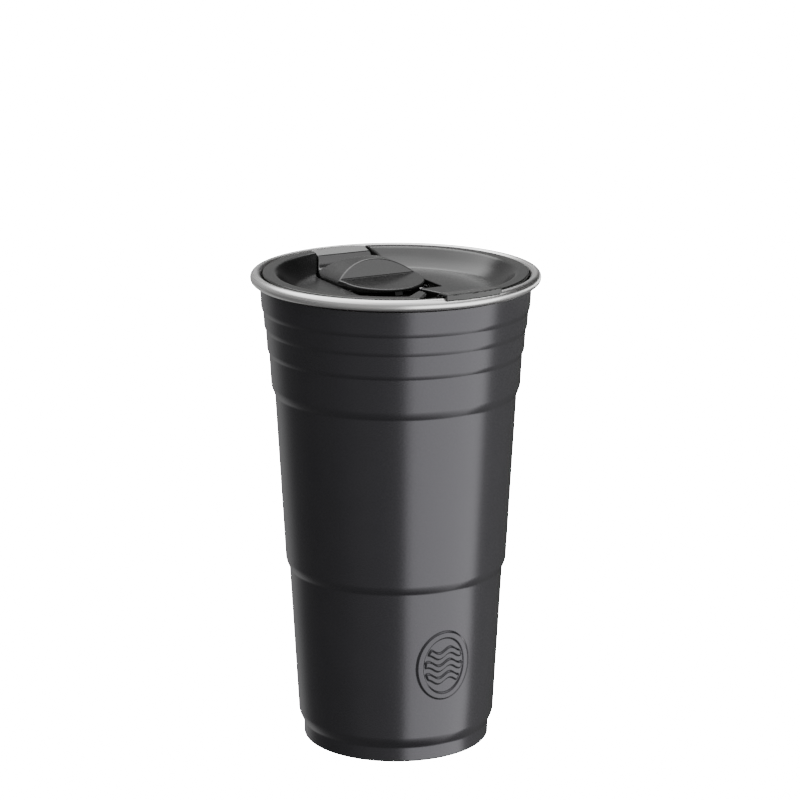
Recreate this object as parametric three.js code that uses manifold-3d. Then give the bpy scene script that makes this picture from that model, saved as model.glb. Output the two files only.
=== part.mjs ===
// Insulated party-cup tumbler with a press-in lid and a rocking flip lever.
//
// Millimetres, +Z up.  The origin is the centre of the ring the cup stands on, and -Y is the
// front: the side with the body's emblem and the lid's lift tab.  The lever runs along Y, with
// its thumb lobe near the middle of the lid and its spout cover over the rim at +Y.

import * as THREE from 'three';
import { mergeVertices } from 'three/addons/utils/BufferGeometryUtils.js';
import Module from 'manifold-3d';

const wasm = await Module();
wasm.setup();

// ---------------------------------------------------------------- driving dimensions

const FACETS = 48;                  // flats around every round piece of the cup and lid
const GAP = 0.3;                    // clearance between pieces that touch on the real cup

// Outer shell: seven tapered bands, each stepping in to the next.
const SHELL = {
  wall: 0.8,
  taper: 0.0556,                    // radius gained per mm of height on every band
  topZ: 165.8,
  footRadius: 31.6,                 // outer edge of the flat ring the cup stands on
  footInner: 30.0,
  footFillet: 1.4,
};
// A shoulder is where one band steps in to the band below: the radius just above it, the
// heights where it starts and ends, and how far it steps in.
const SHOULDERS = [
  { topZ: 158.6, topR: 47.27, drop: 1.9, depth: 0.65 },
  { topZ: 151.9, topR: 46.30, drop: 1.9, depth: 0.61 },
  { topZ: 143.6, topR: 45.33, drop: 2.0, depth: 0.70 },
  { topZ: 130.6, topR: 44.00, drop: 3.6, depth: 1.28 },
  { topZ: 66.9, topR: 39.38, drop: 3.6, depth: 1.30 },
  { topZ: 9.9, topR: 35.13, drop: 4.5, depth: 1.80 },
];

// Inner liner: a plain taper, a seat for the lid, and the rolled rim bead.
const LINER = {
  wall: 0.6,
  bottomZ: 12.0,
  bottomR: 32.6,                    // outside radius just above the bottom corner
  corner: 5.0,
  neckZ: 150.0,                     // top of the plain taper
  neckR: 42.1,
  seatZ: 155.0,                     // where the liner has opened out to take the lid
  seatR: 45.3,
  throatZ: 165.6,                   // where the wall turns out towards the bead
  throatR: 46.35,
};
const BEAD = { r: 49.06, z: 168.6, tube: 1.95, startDeg: 180, endDeg: -135 };

// Base: a pressed cap closes the vacuum space, and a thin cover hides it.
const CAP = { z: 1.1, wall: 0.9, radius: 31.9, dimpleR: 8.0, dimpleH: 2.0, portR: 1.6 };
const COVER = { z: 0.25, wall: 0.55, radius: 29.6 };
const SEAL = { radius: 3.0, height: 1.2, edge: 0.4 };
const GETTER = { radius: 6.0, height: 1.2, x: 17.0 };

// Lid: a top moulding with the dish, and a base moulding with the well and the seal groove.
const LID = {
  topZ: 170.4,                      // the flat ring round the dish
  edgeR: 46.6,
  dishR: 42.3,                      // inner edge of the flat ring
  floorZ: 164.1,
  floorR: 34.6,                     // where the floor turns up into the dish wall
  wallR: 38.4,                      // where the wall turns steeper
  wallZ: 166.5,
  wall: 1.6,
  flange: 2.2,                      // thickness of the ring at its edge
  skirtR: 45.0,
  skirtInner: 43.9,
  skirtZ: 163.2,
};
const SLOT = {
  halfWidth: 16.3,                  // beside the lever's body
  bodyEndY: 30.0,
  rimWidthRight: 12.3,              // the +X side stays wide up to the flat ring
  rimY: 39.3,
  recessHalfWidth: 10.8,            // the pocket in the ring that takes the lever's cover end
  recessY: 40.4,
  recessZ: 167.0,
  wellY: -4.5,                      // front of the full-width part
  wellX: 7.3,                       // +X side of the finger well in front of it, at its back
  wellFrontX: 10.2,                 // and at its front
  wellEndY: -20.0,
  wellCorner: 6.0,
  wallDepth: 5.0,                   // walls that hang down beside the well and the slot
  wallThickness: 1.2,
};
const TAB = { startDeg: -98.1, endDeg: -72.5, innerR: 43.2, outerR: 51.0, innerZ: 171.3, outerZ: 172.2 };
// Beside the tab, the flat ring is notched, and a flat lip runs in from the notch's edge.
const NOTCH = { outline: [[-16.2, -47.0], [-7.6, -37.3], [-5.2, -36.0], [-7.0, -49.0]], z: 167.5 };
const LIP = { outline: [[-15.8, -39.6], [-8.0, -32.6], [-7.6, -37.3], [-13.4, -43.9], [-16.4, -41.6]], thickness: 1.5 };

const LID_BASE = {
  bottomZ: 153.8,
  floor: 1.6,
  skirtR: 43.4,
  skirtWall: 1.6,
  topZ: 164.2,
  grooveR: 42.5,
  grooveZ0: 157.0,
  grooveZ1: 161.4,
};
const SPOUT = { y0: 32.5, y1: 39.5, halfWidth: 9.5, topZ: 162.3, holeHalfX: 6.0, holeHalfY: 2.2 };
const VENT = { y: -25.0, radius: 1.2 };
const GASKET = { innerR: 42.8, bodyR: 43.7, lipR: 44.6 };

// Lever: turns about a pin that crosses the slot under the thumb lobe's centre.
const PIN = { y: 10.0, z: 160.2, radius: 1.1, length: 37.6 };
const POST = { innerX: 16.0, outerX: 19.0, halfY: 3.0, topZ: 162.1 };
const LEVER = {
  lobeR: 14.7,                      // thumb lobe
  halfWidth: 15.6,
  endHalfWidth: 10.5,
  endR: 46.2,
  topZ: 164.8,                      // the low deck between the dome and the cover end
  underZ: 163.0,
  scoopZ: 165.0,                    // lowest line of the thumb lobe's shallow scoop
  tipZ: 165.3,
  creaseZ: 165.8,                   // where the lobe meets the dome's face
  archY: 13.8,
  archLean: 0.8,                    // how far the face leans back per mm of height
  archR: 22.8,
  archTopZ: 171.3,
  crestEndY: 24.5,                  // where the dome starts to slope down to the deck
  slopeLength: 8.0,
  barrelR: 2.5,
  barrelHalf: 13.4,
  ribHalf: 1.6,
  ribFrontY: -2.8,                  // the centre rib starts close behind the lobe's tip
  ribFrontZ: 162.0,
};
const COVER_TOP = { innerY: 40.5, innerZ: 169.2, outerZ: 170.7, thickness: 3.0 };
const STOPPER = { halfX: 8.0, halfY: 3.6, height: 0.5 };

// ---------------------------------------------------------------- solids and outlines

function solidFrom(geometry) {
  geometry.deleteAttribute('normal');
  geometry.deleteAttribute('uv');
  const merged = mergeVertices(geometry, 1e-4);
  const positions = merged.attributes.position.array;
  const source = merged.index.array;
  const corner = (i) => new THREE.Vector3().fromArray(positions, 3 * i);
  const kept = [];
  let volume = 0;
  for (let i = 0; i < source.length; i += 3) {
    const [a, b, c] = [source[i], source[i + 1], source[i + 2]];
    if (a === b || b === c || c === a) continue;
    kept.push(a, b, c);
    volume += corner(a).dot(corner(b).cross(corner(c)));
  }
  if (volume < 0) kept.reverse();
  const mesh = new wasm.Mesh({
    numProp: 3,
    vertProperties: new Float32Array(positions),
    triVerts: new Uint32Array(kept),
  });
  return new wasm.Manifold(mesh);
}

function namedMesh(name, solid, material) {
  const mesh = solid.getMesh();
  const geometry = new THREE.BufferGeometry();
  geometry.setAttribute('position', new THREE.BufferAttribute(mesh.vertProperties, 3));
  geometry.setIndex(new THREE.BufferAttribute(mesh.triVerts, 1));
  geometry.computeVertexNormals();
  const result = new THREE.Mesh(geometry, material);
  result.name = name;
  return result;
}

// A solid of revolution about Z from a list of [radius, height] points.
function revolve(points) {
  const closed = points.concat(points[0][0] === 0 ? [] : [points[0]]);
  const profile = closed.map(([r, z]) => new THREE.Vector2(r, z));
  const geometry = new THREE.LatheGeometry(profile, FACETS);
  geometry.rotateX(Math.PI / 2);
  return solidFrom(geometry);
}

function outline(points) {
  return new THREE.Shape(points.map(([x, y]) => new THREE.Vector2(x, y)));
}

// Extrudes an outline drawn in XY from height z0 to z1.
function upright(shape, z0, z1) {
  const geometry = new THREE.ExtrudeGeometry(shape, { depth: z1 - z0, bevelEnabled: false, curveSegments: 12 });
  geometry.translate(0, 0, z0);
  return solidFrom(geometry);
}

// Extrudes an outline drawn in YZ across X, from -halfX to halfX about centreX.
function crosswise(shape, halfX, centreX = 0) {
  const geometry = new THREE.ExtrudeGeometry(shape, { depth: 2 * halfX, bevelEnabled: false, curveSegments: 12 });
  const axes = new THREE.Matrix4().makeBasis(
    new THREE.Vector3(0, 1, 0),
    new THREE.Vector3(0, 0, 1),
    new THREE.Vector3(1, 0, 0),
  );
  geometry.applyMatrix4(axes);
  geometry.translate(centreX - halfX, 0, 0);
  return solidFrom(geometry);
}

// Extrudes an outline drawn in XZ along Y, from y0 back to y1.
function lengthwise(shape, y0, y1) {
  const geometry = new THREE.ExtrudeGeometry(shape, { depth: y1 - y0, bevelEnabled: false, curveSegments: 12 });
  geometry.rotateX(Math.PI / 2);
  geometry.translate(0, y1, 0);
  return solidFrom(geometry);
}

function box(x0, x1, y0, y1, z0, z1) {
  return upright(outline([[x0, y0], [x1, y0], [x1, y1], [x0, y1]]), z0, z1);
}

function post(radius, x, y, z0, z1, facets = 20) {
  const geometry = new THREE.CylinderGeometry(radius, radius, z1 - z0, facets);
  geometry.rotateX(Math.PI / 2);
  geometry.translate(x, y, (z0 + z1) / 2);
  return solidFrom(geometry);
}

function crossRod(radius, halfX, y, z, facets = 20) {
  const geometry = new THREE.CylinderGeometry(radius, radius, 2 * halfX, facets);
  geometry.rotateZ(Math.PI / 2);
  geometry.translate(0, y, z);
  return solidFrom(geometry);
}

// Points on an arc about [r, z], from one angle to another in degrees.
function arc(r, z, radius, fromDeg, toDeg, steps) {
  const points = [];
  for (let i = 0; i <= steps; i += 1) {
    const angle = THREE.MathUtils.degToRad(fromDeg + ((toDeg - fromDeg) * i) / steps);
    points.push([r + radius * Math.cos(angle), z + radius * Math.sin(angle)]);
  }
  return points;
}

// A pie slice between two angles, tall enough to cut any piece of the lid.
function slice(startDeg, endDeg) {
  const reach = 80;
  const rim = arc(0, 0, reach, startDeg, endDeg, 4);
  return upright(outline([[0, 0], ...rim]), LID_BASE.bottomZ - 10, LID.topZ + 20);
}

// ---------------------------------------------------------------- cup

// The shell's outside line from the foot to the rim, inset by a given amount.
function shellLine(inset, curved) {
  const points = [];
  for (const shoulder of [...SHOULDERS].reverse()) {
    const bottomZ = shoulder.topZ - shoulder.drop;
    const steps = curved ? [0, 0.4, 0.7, 1] : [0, 1];
    points.push([shoulder.topR - shoulder.depth - inset, bottomZ]);
    for (const t of steps.slice(1)) {
      const depth = shoulder.depth * (1 - t) ** 2;
      points.push([shoulder.topR - depth - inset, bottomZ + shoulder.drop * t]);
    }
  }
  const last = SHOULDERS[0];
  points.push([last.topR + (SHELL.topZ - last.topZ) * SHELL.taper - inset, SHELL.topZ]);
  return points;
}

function outerShell() {
  const lowest = SHOULDERS[SHOULDERS.length - 1];
  const waistZ = lowest.topZ - lowest.drop;
  const waistR = lowest.topR - lowest.depth;
  const footR = waistR - (waistZ - SHELL.footFillet) * SHELL.taper;
  const fillet = arc(footR - SHELL.footFillet, SHELL.footFillet, SHELL.footFillet, -90, 0, 3);
  const outside = [[SHELL.footInner, 0], ...fillet, ...shellLine(0, true)];
  const inside = [[SHELL.footInner, SHELL.wall], [footR - SHELL.wall, SHELL.wall], ...shellLine(SHELL.wall, false)];
  return revolve([...outside, ...inside.reverse()]);
}

function innerLiner() {
  const floorZ = LINER.bottomZ;
  const wall = LINER.wall;
  const skin = (inset) => [
    [0, floorZ + inset],
    ...arc(LINER.bottomR - LINER.corner, floorZ + LINER.corner, LINER.corner - inset, -90, 0, 4),
    [LINER.neckR - inset, LINER.neckZ],
    [LINER.seatR - inset, LINER.seatZ],
    [LINER.throatR - inset, LINER.throatZ],
  ];
  const curl = (radius) => arc(BEAD.r, BEAD.z, radius, BEAD.startDeg, BEAD.endDeg, 12);
  const outer = [...skin(0), ...curl(BEAD.tube - wall)];
  const inner = [...skin(wall), ...curl(BEAD.tube)];
  return revolve([...outer, ...inner.reverse()]);
}

function baseCap() {
  const { z, wall, radius, dimpleR, dimpleH, portR } = CAP;
  const under = [[portR, z + dimpleH], [dimpleR - 1, z + dimpleH], [dimpleR, z], [radius, z]];
  const over = under.map(([r, h]) => [r, h + wall]).reverse();
  return revolve([...under, ...over]);
}

function baseCover() {
  const { z, wall, radius } = COVER;
  return revolve([[0, z], [radius - wall / 2, z], [radius, z + wall / 2], [radius, z + wall], [0, z + wall]]);
}

// A bead of sealing glass in the dimple, domed below and with a stub up the evacuation port.
function vacuumSeal() {
  const ceiling = CAP.z + CAP.dimpleH - GAP;
  const stubR = CAP.portR - GAP;
  return revolve([
    [0, ceiling - SEAL.height],
    [0.75 * SEAL.radius, ceiling - SEAL.height + 0.2],
    [SEAL.radius, ceiling - SEAL.edge],
    [SEAL.radius, ceiling],
    [stubR, ceiling],
    [stubR, ceiling + CAP.wall],
    [0, ceiling + CAP.wall],
  ]);
}

function getter() {
  const z = CAP.z + CAP.wall + GAP;
  return post(GETTER.radius, GETTER.x, 0, z, z + GETTER.height, 24);
}

// ---------------------------------------------------------------- lid

function dishProfile() {
  const { topZ, edgeR, dishR, floorZ, floorR, wallR, wallZ, wall, flange, skirtR, skirtInner, skirtZ } = LID;
  const edge = 0.5;
  const face = [
    [0, floorZ],
    [floorR, floorZ],
    [wallR, wallZ],
    [dishR - edge, topZ - edge],
    [dishR + edge, topZ],
    [edgeR - edge, topZ],
    [edgeR, topZ - edge],
    [edgeR, topZ - flange],
  ];
  const under = [
    [skirtR, topZ - flange],
    [skirtR, skirtZ],
    [skirtInner, skirtZ],
    [skirtInner - 0.1, topZ - flange],
    [dishR - 0.7, topZ - flange],
    [floorR + 0.4, floorZ - wall],
    [0, floorZ - wall],
  ];
  return [...face, ...under];
}

// The slot that the lever lies in, seen from above.  Its rim end stops just inside the skirt.
// The -X side keeps close to the lever, the +X side stays wider, and in front of the lever the
// slot runs on as a finger well.
function slotOutline() {
  const { recessHalfWidth, recessY, rimWidthRight, rimY, halfWidth, bodyEndY } = SLOT;
  const { wellY, wellX, wellFrontX, wellEndY, wellCorner } = SLOT;
  const endR = LID.skirtInner - 0.2;
  const endDeg = THREE.MathUtils.radToDeg(Math.acos(recessHalfWidth / endR));
  const rimEnd = arc(0, 0, endR, 180 - endDeg, endDeg, 6);
  const right = [[recessHalfWidth, recessY], [rimWidthRight, rimY], [halfWidth, bodyEndY]];
  const left = [[-halfWidth, bodyEndY], [-recessHalfWidth, recessY]];
  const cornerY = wellEndY + wellCorner;
  const rightCorner = arc(wellFrontX - wellCorner, cornerY, wellCorner, 0, -90, 4);
  const leftCorner = arc(wellCorner - halfWidth, cornerY, wellCorner, -90, -180, 4);
  const well = [[halfWidth, wellY], [wellX, wellY], ...rightCorner, ...leftCorner];
  return outline([...rimEnd, ...right, ...well, ...left]);
}

// Walls that hang from the dish floor beside the +X side of the slot and of the well.
function slotWalls() {
  const { halfWidth, wellY, wellX, wellFrontX, wellEndY, wellCorner, wallDepth, wallThickness } = SLOT;
  const top = LID.floorZ - LID.wall / 2;
  const low = top - wallDepth;
  const sideEndY = PIN.y - POST.halfY - 2 * GAP;
  const side = outline([
    [halfWidth, wellY - wallThickness],
    [halfWidth + wallThickness, wellY - wallThickness],
    [halfWidth + wallThickness, sideEndY],
    [halfWidth, sideEndY],
  ]);
  const back = outline([
    [wellX, wellY - wallThickness],
    [halfWidth + wallThickness / 2, wellY - wallThickness],
    [halfWidth + wallThickness / 2, wellY],
    [wellX, wellY],
  ]);
  const front = outline([
    [wellX, wellY],
    [wellFrontX, wellEndY + wellCorner],
    [wellFrontX + wallThickness, wellEndY + wellCorner],
    [wellX + wallThickness, wellY],
  ]);
  return upright(side, low, top).add(upright(back, low, top)).add(upright(front, low, top));
}

function liftTab() {
  const { innerR, outerR, innerZ, outerZ } = TAB;
  const clearZ = BEAD.z + BEAD.tube + GAP;
  const ring = revolve([
    [innerR, LID.topZ - 0.9],
    [LID.edgeR, LID.topZ - 0.9],
    [LID.edgeR, clearZ],
    [outerR - 1.4, clearZ],
    [outerR - 0.6, clearZ - 0.4],
    [outerR - 0.2, clearZ - 0.8],
    [outerR, clearZ - 0.8],
    [outerR, outerZ - 0.4],
    [outerR - 0.4, outerZ],
    [innerR + 0.4, innerZ],
    [innerR, innerZ - 0.4],
  ]);
  return ring.intersect(slice(TAB.startDeg, TAB.endDeg));
}

function lidTop() {
  const overhead = LID.topZ + 5;
  const recess = box(
    -SLOT.recessHalfWidth, SLOT.recessHalfWidth, SLOT.recessY, LID.edgeR + 2, SLOT.recessZ, overhead);
  return revolve(dishProfile())
    .subtract(upright(slotOutline(), LID_BASE.bottomZ, overhead))
    .subtract(recess)
    .add(upright(outline(LIP.outline), LID.topZ - LIP.thickness, LID.topZ))
    .subtract(upright(outline(NOTCH.outline), NOTCH.z, overhead))
    .add(liftTab())
    .add(slotWalls());
}

function lidBase() {
  const { bottomZ, floor, skirtR, skirtWall, topZ, grooveR, grooveZ0, grooveZ1 } = LID_BASE;
  const floorZ = bottomZ + floor;
  const cup = revolve([
    [0, bottomZ],
    [skirtR - 1, bottomZ],
    [skirtR, bottomZ + 1],
    [skirtR, grooveZ0],
    [grooveR, grooveZ0],
    [grooveR, grooveZ1],
    [skirtR, grooveZ1],
    [skirtR, topZ - 0.9],
    [skirtR - 0.9, topZ],
    [skirtR - skirtWall, topZ],
    [grooveR - 1.2, grooveZ1 + 0.8],
    [grooveR - 1.2, floorZ],
    [0, floorZ],
  ]);
  const spoutTower = box(-SPOUT.halfWidth, SPOUT.halfWidth, SPOUT.y0, SPOUT.y1, floorZ - 0.5, SPOUT.topZ);
  const spoutHole = box(
    -SPOUT.holeHalfX, SPOUT.holeHalfX,
    (SPOUT.y0 + SPOUT.y1) / 2 - SPOUT.holeHalfY, (SPOUT.y0 + SPOUT.y1) / 2 + SPOUT.holeHalfY,
    bottomZ - 1, SPOUT.topZ + 1);
  let solid = cup.add(spoutTower).subtract(spoutHole);
  for (const side of [-1, 1]) {
    const inner = side * POST.innerX;
    const outer = side * POST.outerX;
    const pinPost = box(
      Math.min(inner, outer), Math.max(inner, outer),
      PIN.y - POST.halfY, PIN.y + POST.halfY, floorZ - 0.5, POST.topZ);
    solid = solid.add(pinPost);
  }
  return solid
    .subtract(crossRod(PIN.radius + GAP, PIN.length, PIN.y, PIN.z))
    .subtract(post(VENT.radius, 0, VENT.y, bottomZ - 1, floorZ + 1));
}

// Silicone ring with two lips that wipe the liner's seat.
function lidGasket() {
  const { innerR, bodyR, lipR } = GASKET;
  const low = LID_BASE.grooveZ0 + GAP;
  const high = LID_BASE.grooveZ1 - GAP;
  const middle = (low + high) / 2;
  return revolve([
    [innerR, low],
    [bodyR, low],
    [lipR, low + 0.7],
    [lipR, low + 1.1],
    [bodyR, middle],
    [lipR, high - 1.1],
    [lipR, high - 0.7],
    [bodyR, high],
    [innerR, high],
  ]);
}

function hingePin() {
  return crossRod(PIN.radius, PIN.length / 2, PIN.y, PIN.z);
}

// ---------------------------------------------------------------- lever

function leverOutline() {
  const endDeg = THREE.MathUtils.radToDeg(Math.acos(LEVER.endHalfWidth / LEVER.endR));
  const coverEnd = arc(0, 0, LEVER.endR, 180 - endDeg, endDeg, 6);
  const half = [
    [LEVER.endHalfWidth, SLOT.recessY],
    [LEVER.halfWidth, SLOT.bodyEndY - GAP],
    [LEVER.halfWidth, LEVER.archY],
  ];
  const lobe = arc(0, PIN.y, LEVER.lobeR, 0, -180, 16);
  const mirrored = half.map(([x, y]) => [-x, y]).reverse();
  return outline([...coverEnd, ...half, ...lobe, ...mirrored]);
}

// Side view of the lever's plate: thumb scoop, low deck, rise along the dish wall, cover end.
function leverSide() {
  const { topZ, underZ, tipZ, scoopZ, creaseZ, archY, endR, lobeR } = LEVER;
  const { innerY, innerZ, outerZ, thickness } = COVER_TOP;
  const tip = PIN.y - lobeR;
  const top = [
    [tip, tipZ],
    [tip + 4, scoopZ],
    [tip + 12, scoopZ + 0.1],
    [archY, creaseZ],
    [archY + 2, topZ],
    [innerY - 7.0, topZ],
    [innerY - 4.9, topZ + 0.5],
    [innerY - 2.6, innerZ - 2.6],
    [innerY, innerZ],
    [endR, outerZ],
  ];
  const under = [
    [endR, outerZ - thickness],
    [innerY + 1.9, outerZ - thickness - 0.2],
    [innerY + 1.1, outerZ - thickness - 0.8],
    [innerY + 0.5, underZ + 2.0],
    [innerY - 0.7, underZ + 0.9],
    [innerY - 2.5, underZ + 0.4],
    [innerY - 6.5, underZ + 0.2],
    [tip + 8, underZ],
    [tip, underZ + 0.9],
  ];
  return outline([...top, ...under]);
}

// The dome: an arch across the lever with a flat face that leans back, sloping down to the deck.
function leverDome() {
  const { archR, archTopZ, archY, archLean, creaseZ, crestEndY, slopeLength, topZ } = LEVER;
  const footZ = topZ - 0.8;
  const faceY = (z) => archY + archLean * (z - creaseZ);
  const arch = [...arc(0, archTopZ - archR, archR, 45, 135, 14), [-20, footZ], [20, footZ]];
  const slope = [
    [faceY(footZ), footZ],
    [faceY(archTopZ), archTopZ],
    [crestEndY, archTopZ],
    [crestEndY + 0.45 * slopeLength, archTopZ - 1.4],
    [crestEndY + 0.8 * slopeLength, archTopZ - 4.7],
    [crestEndY + slopeLength, topZ],
    [crestEndY + slopeLength, footZ],
  ];
  return lengthwise(outline(arch), 0, 40).intersect(crosswise(outline(slope), 25));
}

function lever() {
  const plate = crosswise(leverSide(), 25).add(leverDome());
  const trimmed = plate.intersect(upright(leverOutline(), 150, 180));
  const barrel = crossRod(LEVER.barrelR, LEVER.barrelHalf, PIN.y, PIN.z);
  const lowZ = PIN.z - LEVER.barrelR + 0.1;
  const ribBack = [[PIN.y + 3, lowZ], [PIN.y + 14, LEVER.underZ + 0.5]];
  const centreRib = outline([
    [LEVER.ribFrontY + 0.6, LEVER.scoopZ - 0.8],
    [LEVER.ribFrontY, LEVER.ribFrontZ],
    [PIN.y - 7, PIN.z - 1.2],
    [PIN.y - 3, lowZ],
    ...ribBack,
  ]);
  const sideRib = outline([[PIN.y - 3, LEVER.underZ + 0.5], [PIN.y - 3, lowZ], ...ribBack]);
  const sideRibX = LEVER.barrelHalf - LEVER.ribHalf;
  return trimmed
    .add(barrel)
    .add(crosswise(centreRib, LEVER.ribHalf))
    .add(crosswise(sideRib, LEVER.ribHalf, sideRibX))
    .add(crosswise(sideRib, LEVER.ribHalf, -sideRibX))
    .subtract(crossRod(PIN.radius + GAP, LEVER.barrelHalf + 5, PIN.y, PIN.z));
}

// Silicone pad under the cover end that closes the drinking hole.
function spoutStopper() {
  const y = (SPOUT.y0 + SPOUT.y1) / 2;
  const z0 = SPOUT.topZ + GAP / 3;
  return box(
    -STOPPER.halfX, STOPPER.halfX, y - STOPPER.halfY, y + STOPPER.halfY, z0, z0 + STOPPER.height);
}

// ---------------------------------------------------------------- assembly

const coated = new THREE.MeshStandardMaterial({ color: 0x2b2c2e, roughness: 0.42, metalness: 0.2 });
const steel = new THREE.MeshStandardMaterial({ color: 0xb9bab8, roughness: 0.32, metalness: 1.0 });
const plastic = new THREE.MeshStandardMaterial({ color: 0x1d1d1e, roughness: 0.3, metalness: 0.0 });
const silicone = new THREE.MeshStandardMaterial({ color: 0x3a3a3a, roughness: 0.75, metalness: 0.0 });
const glass = new THREE.MeshStandardMaterial({ color: 0x5c6a66, roughness: 0.2, metalness: 0.0 });

function cup() {
  const group = new THREE.Group();
  group.add(
    namedMesh('outer_shell', outerShell(), coated),
    namedMesh('inner_liner', innerLiner(), steel),
    namedMesh('base_cap', baseCap(), steel),
    namedMesh('base_cover', baseCover(), steel),
    namedMesh('vacuum_seal', vacuumSeal(), glass),
    namedMesh('getter', getter(), steel),
  );
  return group;
}

function lid() {
  const group = new THREE.Group();
  group.add(
    namedMesh('lid_top', lidTop(), plastic),
    namedMesh('lid_base', lidBase(), plastic),
    namedMesh('lid_gasket', lidGasket(), silicone),
    namedMesh('hinge_pin', hingePin(), steel),
  );
  return group;
}

function flipLever() {
  const group = new THREE.Group();
  group.add(
    namedMesh('lever', lever(), plastic),
    namedMesh('spout_stopper', spoutStopper(), silicone),
  );
  return group;
}

const tumbler = new THREE.Group();
tumbler.add(cup(), lid(), flipLever());

export default tumbler;
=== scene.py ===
# Insulated party-cup tumbler: the looks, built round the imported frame.
#
# Shapes are worked out in millimetres, in the frame's axes (+Z up, -Y the front with the emblem and
# the lid's lift tab), and put into Blender in metres.

import math

import bpy
import numpy as np
from mathutils import Matrix, Vector


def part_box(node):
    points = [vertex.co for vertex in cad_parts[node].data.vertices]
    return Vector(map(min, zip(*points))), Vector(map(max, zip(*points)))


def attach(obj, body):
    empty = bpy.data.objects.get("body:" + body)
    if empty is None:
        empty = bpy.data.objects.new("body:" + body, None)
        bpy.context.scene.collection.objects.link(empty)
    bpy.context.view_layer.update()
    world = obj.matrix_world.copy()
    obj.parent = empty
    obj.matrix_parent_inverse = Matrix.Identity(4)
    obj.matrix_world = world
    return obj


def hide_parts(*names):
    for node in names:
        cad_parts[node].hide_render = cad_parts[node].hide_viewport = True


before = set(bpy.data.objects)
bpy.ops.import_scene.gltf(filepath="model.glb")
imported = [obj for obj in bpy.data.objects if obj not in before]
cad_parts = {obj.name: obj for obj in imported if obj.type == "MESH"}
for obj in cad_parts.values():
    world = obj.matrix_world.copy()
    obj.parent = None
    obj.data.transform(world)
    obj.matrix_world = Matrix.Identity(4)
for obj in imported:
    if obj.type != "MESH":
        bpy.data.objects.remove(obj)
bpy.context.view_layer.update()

MM = 0.001
GAP = 0.3                          # clearance between pieces, in millimetres


def cad_mm(node):
    """Lowest and highest corner of a CAD node, in millimetres."""
    low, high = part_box(node)
    return np.array(low) / MM, np.array(high) / MM


# ---------------------------------------------------------------- sizes, in millimetres

SHELL_TOP_Z = cad_mm("outer_shell")[1][2]
LINER_HIGH = cad_mm("inner_liner")[1]
LID_LOW, LID_HIGH = cad_mm("lid_top")
LEVER_LOW, LEVER_HIGH = cad_mm("lever")
PIN_LOW, PIN_HIGH = cad_mm("hinge_pin")

TAPER = 0.0556                     # radius gained per mm of height
WALL = 0.8
FOOT_FILLET = 0.9
FOOT_INNER_R = 30.0
CORNER_DROP = 0.35                 # the inner corner under a shoulder is softened over this height
SHOULDER_CURVE = 1.4               # 1 would make the shoulders straight cones
# (height of the shoulder's top, radius there, how far down it runs, how far in it steps)
SHOULDERS = (
    (9.9, 35.13, 4.5, 1.80),
    (66.9, 39.38, 3.6, 1.30),
    (130.6, 44.00, 3.6, 1.28),
    (143.6, 45.33, 2.0, 0.70),
    (151.9, 46.30, 1.9, 0.61),
    (158.6, 47.27, 1.9, 0.65),
)

BEAD_TUBE = 1.95
BEAD_Z = LINER_HIGH[2] - BEAD_TUBE
BEAD_R = LINER_HIGH[0] - BEAD_TUBE

LID_TOP_Z = 170.4
LID_EDGE_R = 46.6
DISH_R = 42.3
DISH_FLOOR_Z = 164.1
DISH_WALL_R = 34.6                 # where the floor turns up into the wall
PIN_Y = (PIN_LOW[1] + PIN_HIGH[1]) / 2
PIN_Z = (PIN_LOW[2] + PIN_HIGH[2]) / 2


# ---------------------------------------------------------------- meshes

def new_object(name, vertices, faces, smooth_angle=40.0):
    """A mesh object from millimetre vertices, smooth except across edges sharper than the angle."""
    mesh = bpy.data.meshes.new(name)
    mesh.from_pydata((np.asarray(vertices, float) * MM).tolist(), [], faces)
    mesh.validate()
    mesh.shade_smooth()
    if smooth_angle:
        mesh.set_sharp_from_angle(angle=math.radians(smooth_angle))
    obj = bpy.data.objects.new(name, mesh)
    bpy.context.scene.collection.objects.link(obj)
    return obj


def arc(cx, cy, radius, start, end, steps):
    """Points on an arc about (cx, cy), from one angle in degrees to another."""
    angles = np.radians(np.linspace(start, end, steps + 1))
    return [(cx + radius * math.cos(a), cy + radius * math.sin(a)) for a in angles]


def rounded(points, radii, steps=5, closed=True):
    """The outline with each corner turned into a curve that starts its radius away from the corner."""
    points = [np.array(p, float) for p in points]
    count = len(points)
    radii = np.broadcast_to(radii, count)
    result = []
    for i, corner in enumerate(points):
        if radii[i] == 0 or (not closed and i in (0, count - 1)):
            result.append(tuple(corner))
            continue
        before, after = points[i - 1], points[(i + 1) % count]
        length_in, length_out = np.linalg.norm(before - corner), np.linalg.norm(after - corner)
        start = corner + (before - corner) * min(radii[i] / length_in, 0.48)
        end = corner + (after - corner) * min(radii[i] / length_out, 0.48)
        for t in np.linspace(0, 1, steps + 1):
            result.append(tuple((1 - t) ** 2 * start + 2 * t * (1 - t) * corner + t ** 2 * end))
    return result


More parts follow.
